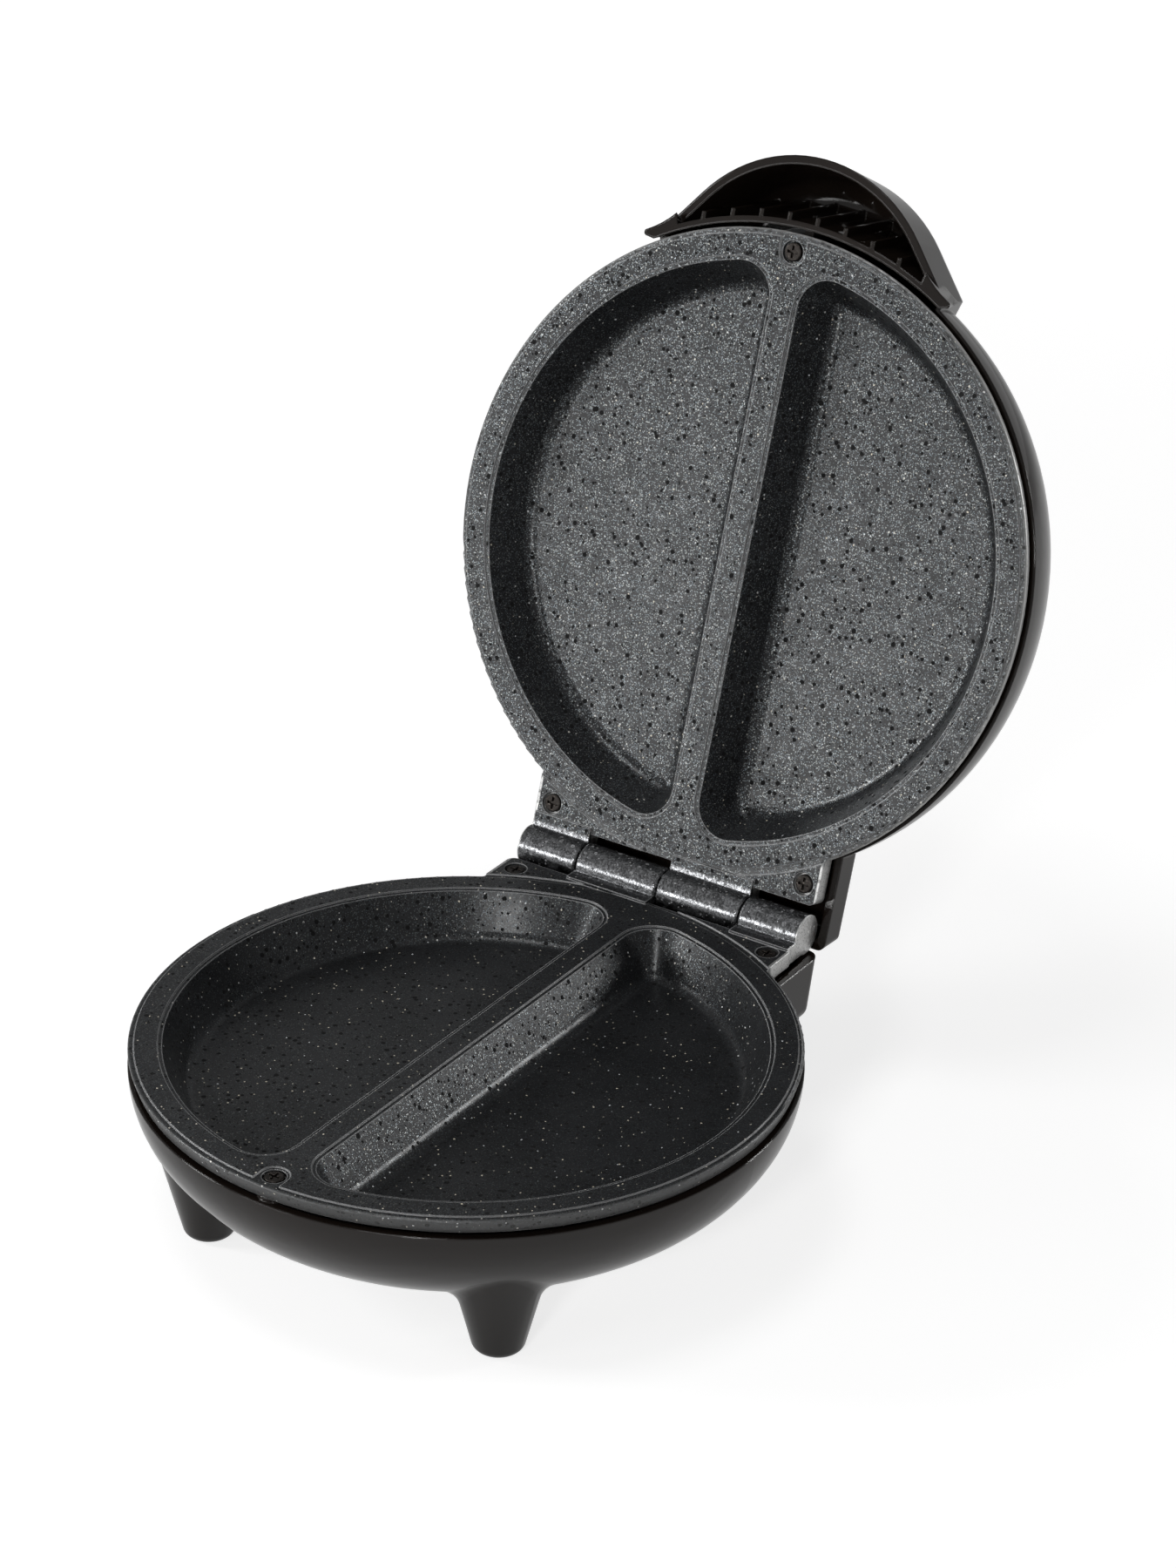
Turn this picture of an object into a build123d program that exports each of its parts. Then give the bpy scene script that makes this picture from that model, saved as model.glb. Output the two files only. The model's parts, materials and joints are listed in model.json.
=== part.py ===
from build123d import *
import os
from math import acos, atan2, cos, degrees, sin, sqrt

# Electric omelette maker with two D-shaped pans in each half, shown standing open.
# Row frame: origin on the table under the middle of the open appliance's bounding box,
# +Z up, -Y to the front (handle side), +Y to the hinge, +X to the right of the cook.
#
# Both halves are drawn in one "half frame": origin at the plate's centre, z = 0 on the
# cooking face, -z into the housing, +y to the hinge. The base half is lifted to
# plate_height; the lid half is turned over onto it and then swung open about the hinge.

# ---- driving dimensions, millimetres and degrees ----------------------------------------
plate_height = 54.0
plate_centre_y = -51.4
plate_gap = 1.6
lid_open_angle = 107.8
running_gap = 0.6

# cooking plate casting
plateau_radius = 92.0
ledge_radius = 93.9
ledge_drop = 0.4
skirt_radius = 92.5
skirt_drop = 4.7
web_thickness = 3.4
pan_divider_half = 3.5
pan_radius = 85.4
pan_corner_radius = 11.0
pan_lip_width = 1.2
pan_lip_drop = 0.5
pan_depth = 13.5
pan_draft_angle = 27.0
pan_floor_fillet = 4.5
pan_wall = 3.2

# hinge tab and knuckles, part of the casting
tab_half_width = 49.0
tab_end_y = 93.4
tab_thickness = 4.7
tab_corner_radius = 2.5
hinge_y = 101.8
hinge_z = plate_gap / 2
knuckle_radius = 6.1
knuckle_end_x = 48.5
knuckle_split_x = 28.25
knuckle_heel = 3.6
knuckle_edge = 0.5
pin_radius = 2.0
pin_blind_x = 45.0

# plate screws
ear_screw_x = 43.7
ear_screw_y = 87.9
front_screw_y = -88.2
screw_head_radius = 2.75
screw_head_height = 1.5
screw_shank_radius = 1.5
screw_seat_drop = 1.8
screw_seat_radius = 3.35
front_lobe_radius = 4.25
screw_length = 14.0
cross_span = 3.6
cross_width = 0.8
cross_depth = 0.9

# housings
wall = 2.6
rim_radius = 93.8
rim_z = -6.0
base_core_radius = 40.0
base_dome_depth = 38.0
lid_core_radius = 52.0
lid_dome_depth = 43.0
block_half_width = 51.7
base_block_depth = 18.5
base_block_end_y = 105.0
base_block_heel_y = 100.5
lid_block_depth = 9.6
lid_block_end_y = 107.0
lid_block_heel_y = 104.6
boss_radius = 4.4
block_root_y = 40.0

# handle hood at the front of the lid
hood_radius = 46.5
hood_centre_y = -69.0
hood_flank_x = 47.7
hood_flank_y = -84.2
hood_depth = 26.0
hood_taper = 10.4
hood_rounding = 9.0
rail_inner_radius = 94.9
rail_thickness = 1.9
rail_flare = 2.6
rail_top_z = -3.0
rail_depth_z = -33.0
rail_end_x = 51.0
rib_count = 10
rib_pitch = 9.3
rib_thickness = 1.3
rib_reach = 2.2
beak_depth = 11.0

# feet
foot_x = 48.8
front_foot_y = -54.8
rear_foot_x = 36.0
rear_foot_y = 88.0
foot_tip_radius = 6.9
foot_tip_rounding = 3.0
front_foot_top_radius = 15.4
front_foot_top_z = -20.0
rear_foot_top_radius = 11.4
rear_foot_top_z = -21.5
foot_blend_radius = 5.0
foot_pad_radius = 3.6
foot_pad_depth = 1.8
foot_pad_stand = 0.4

# heating parts under each plate
element_radius = 3.2
element_terminal_x = 12.0
element_terminal_y = 68.0
element_z = -(pan_depth + pan_wall) - element_radius - 0.05
retainer_thickness = 1.2
retainer_outer_radius = 64.0
retainer_inner_radius = 41.0
reflector_thickness = 0.6
reflector_floor_z = -30.0
reflector_rim_z = -14.0
reflector_floor_radius = 72.0
reflector_wall_radius = 84.0
reflector_rim_radius = 86.5
post_offset = 33.0
post_radius = 3.6

# indicator lamps in the lid
lens_x = 10.0
lens_y = -26.0
lens_radius = 3.4
lens_flange_radius = 4.6
lamp_post_x = 18.0
lamp_strip_z = -42.0
lamp_radius = 2.2

# thermostat under the left pan of the base, thermal cut-out under the right pan of the lid
contact_gap = 0.02
thermostat_x = -24.0
thermostat_can_radius = 8.2
thermostat_can_height = 3.4
thermostat_body_radius = 7.0
thermostat_height = 7.2
strap_half_width = 4.0
strap_thickness = 1.0
fuse_x = 24.0
fuse_radius = 2.5
fuse_length = 26.0
fuse_lead_radius = 0.8
clip_half_width = 3.8
clip_height = 6.2
clip_thickness = 1.0
clip_wing = 6.2

# stops behind the base block that the open lid comes to rest on
lid_stop_x = 36.0
lid_stop_z = -6.85
lid_stop_low_z = -10.5
lid_stop_end_y = 111.0
lid_stop_half_width = 3.0

# cable glands in the rear walls, and the terminal block behind them
gland_x = 24.0
cord_gland_z = -16.0
lead_gland_z = -14.0
lid_gland_z = -10.8
terminal_post_x = 11.0
terminal_y = 46.0
terminal_floor_z = -39.9
terminal_top_z = -31.5
wire_radius = 1.2
cord_gland_radius = 4.7
lead_gland_radius = 2.6

# ---- placement ---------------------------------------------------------------------------
pan_floor_z = -(pan_depth + pan_wall)
lid_crown_z = rim_z - lid_dome_depth
base_place = Pos(0, plate_centre_y, plate_height)
to_hinge = Pos(0, hinge_y, hinge_z)
from_hinge = Pos(0, -hinge_y, -hinge_z)
lid_shut = Pos(0, 0, plate_gap) * Rot(0, 180, 0)
lid_swing = to_hinge * Rot(-lid_open_angle, 0, 0) * from_hinge
lid_place = base_place * lid_swing * lid_shut

post_places = [(post_offset, post_offset), (-post_offset, post_offset),
               (post_offset, -post_offset), (-post_offset, -post_offset)]
plate_screw_places = [(0, front_screw_y), (ear_screw_x, ear_screw_y), (-ear_screw_x, ear_screw_y)]
foot_places = [(foot_x, front_foot_y), (-foot_x, front_foot_y),
               (rear_foot_x, rear_foot_y), (-rear_foot_x, rear_foot_y)]


# ---- small helpers -----------------------------------------------------------------------
def rod(x, y, radius, low_z, high_z):
    """Upright round rod between two heights."""
    return Pos(x, y, low_z) * extrude(Circle(radius), high_z - low_z)


def block(low, high):
    """Rectangular block from its lowest to its highest corner."""
    size = [b - a for a, b in zip(low, high)]
    return Pos(*low) * Box(*size, align=(Align.MIN, Align.MIN, Align.MIN))


def turned(points):
    """Solid of revolution about Z from an outline of (radius, z) points."""
    return revolve(Plane.XZ * make_face(Polyline(*points, close=True)), Axis.Z)


def cross_rod(y, z, radius, low_x, high_x):
    """Round rod along X."""
    return Pos(low_x, y, z) * (Plane.YZ * extrude(Circle(radius), high_x - low_x))


def bent_tube(points, bend_radius, tube_radius):
    """Tube along straight runs joined by arcs."""
    path = FilletPolyline(*points, radius=bend_radius)
    return sweep(Plane(path @ 0, z_dir=path % 0) * Circle(tube_radius), path)


def cone(low_radius, high_radius, height):
    """Upright cone standing on z = 0."""
    return Cone(low_radius, high_radius, height, align=(Align.CENTER, Align.CENTER, Align.MIN))


def lying_rod(x, y, z, radius, length):
    """Round rod along Y, centred on a point."""
    return Pos(x, y, z) * Rot(90, 0, 0) * Cylinder(radius, length)


# ---- cooking plate casting ---------------------------------------------------------------
def pan_outline(inset):
    """D-shaped outline of the right-hand pan, moved inwards by inset."""
    straight = pan_divider_half + inset
    radius = pan_radius - inset
    corner = max(pan_corner_radius - inset, 2.5)
    half_disc = Circle(radius) & (Pos(straight + radius, 0) * Rectangle(2 * radius, 3 * radius))
    return fillet(half_disc.vertices(), corner)


def pan_pocket():
    """Hollow of one pan: the narrow lip step and the drafted bowl with its rounded floor."""
    lip = Pos(0, 0, -pan_lip_drop) * extrude(pan_outline(0), pan_lip_drop + 1)
    bowl_depth = pan_depth - pan_lip_drop
    bowl = extrude(pan_outline(pan_lip_width), -bowl_depth, taper=pan_draft_angle)
    bowl = Pos(0, 0, -pan_lip_drop) * bowl
    floor = bowl.faces().sort_by(Axis.Z)[0]
    return lip + fillet(floor.edges(), pan_floor_fillet)


def pan_shell():
    """Outside of one pan under the plate, one wall thickness clear of its hollow."""
    return extrude(pan_outline(pan_lip_width - pan_wall), pan_floor_z, taper=pan_draft_angle)


def plate_disc():
    """Round plateau with a stepped ledge and a drafted skirt at its edge."""
    skirt_inside = skirt_radius - 2.4
    outline = make_face(Polyline((0, 0), (plateau_radius, 0), (plateau_radius, -ledge_drop),
                                 (ledge_radius, -ledge_drop), (skirt_radius, -skirt_drop),
                                 (skirt_inside, -skirt_drop), (skirt_inside, -web_thickness),
                                 (0, -web_thickness), close=True))
    shoulder = [v for v in outline.vertices() if abs(v.X - ledge_radius) < 0.01]
    return revolve(Plane.XZ * fillet(shoulder, 0.7), Axis.Z)


def knuckle(low_x, high_x):
    """One hinge knuckle: a barrel, its inner ends chamfered, on a heel at the tab's end."""
    heel = block((low_x, tab_end_y - 2, -tab_thickness), (high_x, hinge_y + knuckle_heel, hinge_z))
    heel_edge = heel.edges().filter_by(Axis.X).group_by(Axis.Y)[-1].sort_by(Axis.Z)[0]
    barrel = cross_rod(hinge_y, hinge_z, knuckle_radius, low_x, high_x)
    ends = barrel.edges().filter_by(GeomType.CIRCLE)
    inner_ends = ends.filter_by(lambda e: abs(e.center().X) < knuckle_end_x - 1)
    return chamfer(heel_edge, 1.0) + chamfer(inner_ends, knuckle_edge)


def cooking_plate(blind_bore):
    """Cast plate with two pans, the screw seats, the hinge tab and its two knuckles."""
    tab = block((-tab_half_width, 60, -tab_thickness), (tab_half_width, tab_end_y, 0))
    tab = fillet(tab.edges().filter_by(Axis.Z).group_by(Axis.Y)[-1], tab_corner_radius)
    tab -= Pos(0, 0, -ledge_drop) * extrude(Circle(ledge_radius) - Circle(plateau_radius), 5)
    pans = pan_shell() + mirror(pan_shell(), Plane.YZ)
    casting = plate_disc() + tab + pans + rod(0, front_screw_y, boss_radius, -tab_thickness, -1)
    casting += knuckle(knuckle_split_x + running_gap / 2, knuckle_end_x)
    casting += knuckle(-knuckle_split_x + running_gap / 2, -running_gap / 2)
    for x, y in post_places:
        casting += rod(x, y, post_radius, element_z - element_radius, pan_floor_z + 1)
    casting -= pan_pocket()
    casting -= mirror(pan_pocket(), Plane.YZ)
    for x, y in plate_screw_places:
        casting -= rod(x, y, screw_seat_radius, -screw_seat_drop, 1)
        casting -= rod(x, y, screw_shank_radius + 0.3, -tab_thickness - 1, 0)
    casting -= rod(0, front_screw_y, front_lobe_radius, -ledge_drop, 1)
    casting -= block((-front_lobe_radius, front_screw_y - 8, -ledge_drop),
                     (front_lobe_radius, front_screw_y, 1))
    for x, y in post_places:
        casting -= rod(x, y, screw_shank_radius, element_z - element_radius - 1, pan_floor_z)
    bore_end = pin_blind_x + 0.3 if blind_bore else knuckle_end_x + 1
    bore_radius = pin_radius + (0.02 if blind_bore else 0.06)
    return casting - cross_rod(hinge_y, hinge_z, bore_radius, -knuckle_end_x - 1, bore_end)


def cross_slot(x, y, top_z):
    """Cross recess in a screw head."""
    arm = Box(cross_span, cross_width, 2 * cross_depth)
    return Pos(x, y, top_z) * (arm + Rot(0, 0, 90) * arm)


def plate_screws():
    """Three cross-head screws that hold a plate to its housing, as one set."""
    screws = []
    for x, y in plate_screw_places:
        seat_z = -screw_seat_drop
        head = rod(x, y, screw_head_radius, seat_z, seat_z + screw_head_height)
        head = fillet(head.edges().group_by(Axis.Z)[-1], 0.5)
        head += rod(x, y, screw_shank_radius, seat_z - screw_length, seat_z)
        screws.append(head - cross_slot(x, y, seat_z + screw_head_height))
    return Compound(screws)


# ---- housings ----------------------------------------------------------------------------
def dome(rim, core, depth):
    """Round bowl with a flat crown and an elliptical flank, open side at rim_z."""
    flank = EllipticalCenterArc((core, rim_z), rim - core, depth, start_angle=270, arc_size=90)
    closing = Polyline((rim, rim_z), (0, rim_z), (0, rim_z - depth), (core, rim_z - depth))
    return revolve(Plane.XZ * make_face([flank, closing]), Axis.Z)


def rear_block(half_width, end_y, heel_y, depth, edge_radius):
    """Block behind the round part that carries the hinge side of a housing."""
    side = Plane.YZ * make_face(Polyline((block_root_y, rim_z), (end_y, rim_z),
                                         (heel_y, rim_z - depth), (block_root_y, rim_z - depth),
                                         close=True))
    solid = extrude(side, half_width, both=True)
    rear_edges = solid.edges().filter_by(lambda e: e.center().Y > 60 and e.center().Z < rim_z - 0.1)
    return fillet(rear_edges, edge_radius)


def housing_inner(core, dome_depth, end_y, heel_y, depth):
    """Hollow of a housing: inner bowl and inner rear block, one wall inside the outer form."""
    bowl = dome(rim_radius - wall, core, dome_depth - wall)
    return bowl + rear_block(block_half_width - wall, end_y - wall, heel_y - wall, depth - wall, 2.0)


def screw_bosses(outer):
    """Three pillars under the plate screws, trimmed to the housing's outer form."""
    pillars = []
    for x, y in plate_screw_places:
        pillar = rod(x, y, boss_radius, rim_z - lid_dome_depth, rim_z) & outer
        pillars.append(pillar + rod(x, y, boss_radius, rim_z - 0.5, -tab_thickness))
    return pillars


def screw_pilots():
    """Pilot holes in the pillars."""
    return [rod(x, y, screw_shank_radius + 0.01, -screw_seat_drop - screw_length - 1, 0)
            for x, y in plate_screw_places]


def foot(x, y, top_radius, top_z):
    """Tapered foot with a rounded tip, reaching up into the bowl."""
    tip_z = -plate_height + foot_pad_stand
    leg = cone(foot_tip_radius, top_radius, top_z - tip_z)
    leg = fillet(leg.edges().group_by(Axis.Z)[0], foot_tip_rounding)
    return Pos(x, y, tip_z) * leg


def near_front_foot(edge):
    """True for the closed edge where a front foot meets the bowl."""
    centre = edge.center(CenterOf.BOUNDING_BOX)
    away = sqrt((abs(centre.X) - foot_x) ** 2 + (centre.Y - front_foot_y) ** 2)
    return away < 6 and centre.Z > -45


def wall_tilt(end_y, heel_y, depth):
    """Lean of a sloping rear wall, in degrees from upright."""
    return degrees(atan2(end_y - heel_y, depth))


def on_rear_wall(x, z, end_y, heel_y, depth):
    """Placement on a sloping rear wall, its local +Y pointing straight out of the wall."""
    y = end_y + (z - rim_z) * (end_y - heel_y) / depth
    return Pos(x, y, z) * Rot(-wall_tilt(end_y, heel_y, depth), 0, 0)


def on_base_wall(x, z):
    """Placement on the base's rear wall."""
    return on_rear_wall(x, z, base_block_end_y, base_block_heel_y, base_block_depth)


def on_lid_wall(x, z):
    """Placement on the lid's rear wall."""
    return on_rear_wall(x, z, lid_block_end_y, lid_block_heel_y, lid_block_depth)


def base_housing():
    """Bowl with four feet, the hinge block, screw pillars, lid stops and cable holes."""
    shell = dome(rim_radius, base_core_radius, base_dome_depth)
    shell += rear_block(block_half_width, base_block_end_y, base_block_heel_y, base_block_depth, 4.0)
    outer = shell
    for x, y in foot_places:
        if y < 0:
            shell += foot(x, y, front_foot_top_radius, front_foot_top_z)
        else:
            shell += foot(x, y, rear_foot_top_radius, rear_foot_top_z)
    shell = fillet(shell.edges().filter_by(near_front_foot), foot_blend_radius)
    shell -= housing_inner(base_core_radius, base_dome_depth,
                           base_block_end_y, base_block_heel_y, base_block_depth)
    for x, y in foot_places:
        core = cone(foot_tip_radius - 2.6, rear_foot_top_radius - 3.2, 24)
        shell -= Pos(x, y, -plate_height + foot_pad_depth + 2) * core
        shell -= rod(x, y, foot_pad_radius, -plate_height, -plate_height + foot_pad_depth)
    for pillar in screw_bosses(outer):
        shell += pillar
    for pilot in screw_pilots():
        shell -= pilot
    for x in (-lid_stop_x, lid_stop_x):
        shell += block((x - lid_stop_half_width, base_block_end_y - wall - 0.4, lid_stop_low_z),
                       (x + lid_stop_half_width, lid_stop_end_y, lid_stop_z))
    shell -= on_base_wall(gland_x, cord_gland_z) * lying_rod(0, 0, 0, cord_gland_radius, 12)
    shell -= on_base_wall(-gland_x, lead_gland_z) * lying_rod(0, 0, 0, lead_gland_radius, 12)
    for x in (-terminal_post_x, terminal_post_x):
        shell += rod(x, terminal_y, 3.5, -42, terminal_floor_z)
    return shell


def hood_form(inset):
    """Hood solid moved inwards by inset: a rounded bell in plan, tapered and rounded over."""
    radius = hood_radius - inset
    reach = sqrt(hood_flank_x ** 2 + (hood_flank_y - hood_centre_y) ** 2)
    flank_angle = atan2(hood_flank_y - hood_centre_y, hood_flank_x)
    touch_angle = flank_angle - acos(hood_radius / reach)
    out_x, out_y = cos(touch_angle), sin(touch_angle)
    flank = (hood_flank_x - inset * out_x, hood_flank_y - inset * out_y)
    touch = (radius * out_x, hood_centre_y + radius * out_y)
    outline = make_face([
        Line(flank, touch),
        ThreePointArc(touch, (0, hood_centre_y - radius), (-touch[0], touch[1])),
        Polyline((-touch[0], touch[1]), (-flank[0], flank[1]),
                 (-40 + inset, -60), (40 - inset, -60), flank),
    ])
    solid = Pos(0, 0, rim_z) * extrude(outline, -(hood_depth - inset), taper=hood_taper)
    deep_edges = solid.edges().group_by(Axis.Z)[0]
    front_edges = deep_edges.filter_by(lambda e: e.center().Y < -72)
    return fillet(front_edges, hood_rounding - inset)


def hood_space():
    """Hollow of the hood, lifted to the top of the rail so that it cuts the lip open."""
    hollow = hood_form(wall)
    return hollow + Pos(0, 0, rail_top_z - rim_z) * hollow


def hood_ribs():
    """Stiffening ribs down the outer face of the hood's inner rail."""
    ribs = []
    for i in range(rib_count):
        x = (i - (rib_count - 1) / 2) * rib_pitch
        top_y = -sqrt((rail_inner_radius + rail_thickness) ** 2 - x * x)
        deep_y = top_y - rail_flare
        side = Plane.YZ * make_face(Polyline((top_y + 1.2, rail_top_z),
                                             (top_y - rib_reach, rail_top_z),
                                             (deep_y - rib_reach - 1, rail_depth_z),
                                             (deep_y + 1.2, rail_depth_z), close=True))
        ribs.append(Pos(x, 0, 0) * extrude(side, rib_thickness / 2, both=True))
    return ribs


def hood_rail():
    """Flared wall beside the plate that closes the lid's hollow off from the hood."""
    outline = [(rail_inner_radius, rail_top_z), (rail_inner_radius + rail_thickness, rail_top_z),
               (rail_inner_radius + rail_thickness + rail_flare, rail_depth_z),
               (rail_inner_radius + rail_flare, rail_depth_z)]
    return turned(outline) & block((-rail_end_x, -130, rail_depth_z), (rail_end_x, -60, rail_top_z))


def hood_beak():
    """Small rounded tip where the hood's lip runs out along the rail, on the right side."""
    root = (41.5, -91.2)
    tip = (50.2, -84.6)
    under = (50.0, -82.6)
    outline = make_face([
        ThreePointArc(root, (46.0, -87.2), tip),
        ThreePointArc(tip, (51.0, -83.5), under),
        Polyline(under, (47.5, -82.2), (40.0, -85.9), root),
    ])
    beak = Pos(0, 0, rail_top_z) * extrude(outline, -beak_depth, taper=8)
    return beak - rod(0, 0, rail_inner_radius, rail_depth_z, 0)


def lid_housing():
    """Dome with the handle hood, its rail and ribs, the hinge block and screw pillars."""
    body = dome(rim_radius, lid_core_radius, lid_dome_depth)
    outer = body + rear_block(block_half_width, lid_block_end_y, lid_block_heel_y,
                              lid_block_depth, 2.5)
    hood = hood_form(0)
    shell = outer + hood
    shell -= housing_inner(lid_core_radius, lid_dome_depth,
                           lid_block_end_y, lid_block_heel_y, lid_block_depth)
    shell -= hood_form(wall)
    shell += hood_rail() & (hood + Pos(0, 0, rail_top_z - rim_z) * hood)
    shell += hood_beak() + mirror(hood_beak(), Plane.YZ)
    space = hood_space()
    for rib in hood_ribs():
        shell += rib & space
    for pillar in screw_bosses(outer):
        shell += pillar
    shell += block((-1.4, -96.6, -24), (1.4, -90, rim_z - 2))
    for pilot in screw_pilots():
        shell -= pilot
    for x in (-lens_x, lens_x):
        shell -= rod(x, lens_y, lens_radius + 0.05, lid_crown_z - 2, lid_crown_z + wall + 1)
    for x in (-lamp_post_x, lamp_post_x):
        shell += rod(x, lens_y, 2.6, lid_crown_z + 1, lamp_strip_z)
    return shell - on_lid_wall(gland_x, lid_gland_z) * lying_rod(0, 0, 0, lead_gland_radius, 12)


# ---- heating parts, the same under each plate ----------------------------------------------
def heating_element():
    """Sheathed tubular element bent into a loop under both pans, with two cold pins."""
    x, y = element_terminal_x, element_terminal_y
    right = [(x, y), (x, 60), (44, 44), (59, 14), (52, -28), (26, -54)]
    left = [(-px, py) for px, py in reversed(right)]
    points = [(px, py, element_z) for px, py in right + left]
    tube = bent_tube(points, 8.0, element_radius)
    for side in (-1, 1):
        tube += lying_rod(side * x, y + 3.5, element_z, 1.2, 7)
    return tube


def element_retainer():
    """Steel ring that presses the element against the pans, screwed to four posts."""
    low_z = element_z - element_radius - retainer_thickness
    band = Circle(retainer_outer_radius) - Circle(retainer_inner_radius)
    ring = Pos(0, 0, low_z) * extrude(band, retainer_thickness)
    ring -= block((-20, 40, low_z - 1), (20, 70, low_z + 3))
    for x, y in post_places:
        ring -= rod(x, y, screw_shank_radius + 0.2, low_z - 1, low_z + 3)
    return ring


def retainer_screws():
    """Four pan-head screws that hold the retainer and the heat reflector, as one set."""
    under_z = element_z - element_radius - retainer_thickness - reflector_thickness
    screws = []
    for x, y in post_places:
        head = rod(x, y, 3.0, under_z - 2.0, under_z)
        head = fillet(head.edges().group_by(Axis.Z)[0], 0.8)
        screws.append(head + rod(x, y, screw_shank_radius, under_z, under_z + 7.0))
    return Compound(screws)


def heat_reflector():
    """Thin bright dish behind the element, with four raised seats at the retainer."""
    t = reflector_thickness
    floor_z = reflector_floor_z
    rim_z_in = reflector_rim_z + t
    dish = turned([(0, floor_z), (reflector_floor_radius, floor_z),
                   (reflector_wall_radius, reflector_rim_z), (reflector_rim_radius, reflector_rim_z),
                   (reflector_rim_radius, rim_z_in), (reflector_wall_radius - 0.4, rim_z_in),
                   (reflector_floor_radius - 0.3, floor_z + t), (0, floor_z + t)])
    seat_top = element_z - element_radius - retainer_thickness
    for x, y in post_places:
        dish -= rod(x, y, 8.6, floor_z - 1, floor_z + 3)
        cup = cone(9.4, 7.4, seat_top - floor_z)
        core = cone(9.4 - t, 7.4 - t, seat_top - floor_z - t)
        dish += Pos(x, y, floor_z) * (cup - core)
        dish -= rod(x, y, screw_shank_radius + 0.2, floor_z, seat_top + 2)
    dish -= block((-20, 58, floor_z - 1), (20, 95, -10))
    return dish - rod(0, front_screw_y, boss_radius + 1.5, -40, 0)


def wiring(tail):
    """Two insulated leads from the element's pins, running on through the points of tail."""
    leads = []
    pin_y = element_terminal_y + 7.1
    for side in (-1, 1):
        head = [(element_terminal_x, pin_y, element_z),
                (element_terminal_x, pin_y + 3.1, element_z),
                (element_terminal_x, pin_y + 3.1, element_z - 6)]
        points = [(side * x, y, z) for x, y, z in head + tail]
        leads.append(bent_tube(points, 2.0, wire_radius))
    return Compound(leads)


# ---- base electrics ------------------------------------------------------------------------
def thermostat():
    """Snap-disc thermostat held against the underside of the left pan."""
    top_z = pan_floor_z - contact_gap
    can_z = top_z - thermostat_can_height
    stat = rod(thermostat_x, 0, thermostat_can_radius, can_z, top_z)
    stat += rod(thermostat_x, 0, thermostat_body_radius, top_z - thermostat_height, can_z)
    for y in (-8, 8):
        stat += block((thermostat_x - 2.5, y - 3, top_z - 6.6), (thermostat_x + 2.5, y + 3, top_z - 5.8))
    return stat


def thermostat_bracket():
    """Spring strap across the thermostat, with its two ends folded up to the pan."""
    high_z = pan_floor_z - contact_gap - 0.05
    under_z = pan_floor_z - contact_gap - thermostat_height
    low_z = under_z - strap_thickness
    left_x = thermostat_x - 16.0
    right_x = thermostat_x + 9.5
    strap = block((left_x, -strap_half_width, low_z), (right_x, strap_half_width, under_z))
    for x in (left_x, right_x - strap_thickness):
        strap += block((x, -strap_half_width, low_z), (x + strap_thickness, strap_half_width, high_z))
    return strap


def terminal_block():
    """Three-way screw terminal block on the floor of the bowl."""
    body = block((-17, terminal_y - 6, terminal_floor_z), (17, terminal_y + 6, terminal_top_z))
    body = fillet(body.edges().filter_by(Axis.Z), 1.2)
    for x in (-terminal_post_x, 0, terminal_post_x):
        body -= lying_rod(x, terminal_y, -35.6, 1.7, 30)
        body -= rod(x, terminal_y, 1.5, -34, terminal_top_z + 1)
    return body


def cord_gland():
    """Flanged bush in the hole where the mains lead enters the base."""
    return on_base_wall(gland_x, cord_gland_z) * gland(cord_gland_radius, 3.3, 1.8, 5.2)


def base_lead_gland():
    """Flanged bush where the lead to the lid leaves the base."""
    return on_base_wall(-gland_x, lead_gland_z) * gland(lead_gland_radius, 1.8, 1.2, 4.6)


def gland(radius, bore, flange, length):
    """Bush along Y through a wall, its flange outside on the +Y side of the origin."""
    collar = Cylinder(radius + 1.2, flange, align=(Align.CENTER, Align.CENTER, Align.MIN))
    collar = fillet(collar.edges().group_by(Axis.Z)[-1], flange * 0.4)
    body = Cylinder(radius - 0.02, length, align=(Align.CENTER, Align.CENTER, Align.MAX))
    return Rot(-90, 0, 0) * (collar + body - Cylinder(bore, 40))


# ---- lid electrics -------------------------------------------------------------------------
def thermal_fuse():
    """Thermal cut-out in its sleeve, lying under the right pan of the lid."""
    middle_z = pan_floor_z - fuse_radius - 0.15
    sleeve = lying_rod(fuse_x, 0, middle_z, fuse_radius, fuse_length)
    return sleeve + lying_rod(fuse_x, 0, middle_z, fuse_lead_radius, fuse_length + 14)


def thermal_fuse_clip():
    """Saddle clip over the thermal cut-out."""
    top_z = pan_floor_z - 0.05
    out_x = clip_half_width
    in_x = clip_half_width - clip_thickness
    clip = block((fuse_x - out_x, -4, top_z - clip_height), (fuse_x + out_x, 4, top_z))
    clip -= block((fuse_x - in_x, -5, top_z - clip_height + clip_thickness),
                  (fuse_x + in_x, 5, top_z + 1))
    for low_x in (fuse_x - out_x - clip_wing, fuse_x + out_x):
        clip += block((low_x, -4, top_z - clip_thickness), (low_x + clip_wing, 4, top_z))
    return clip


def lid_lead_gland():
    """Flanged bush where the lead from the base enters the lid."""
    return on_lid_wall(gland_x, lid_gland_z) * gland(lead_gland_radius, 1.8, 1.2, 3.6)


def indicator_lens(x):
    """Domed lens in the crown of the lid."""
    stem = rod(x, lens_y, lens_radius, lid_crown_z, lid_crown_z + wall + 1.0)
    flange = rod(x, lens_y, lens_flange_radius, lid_crown_z - 1.1, lid_crown_z)
    return fillet(flange.edges().group_by(Axis.Z)[0], 0.8) + stem


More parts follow.
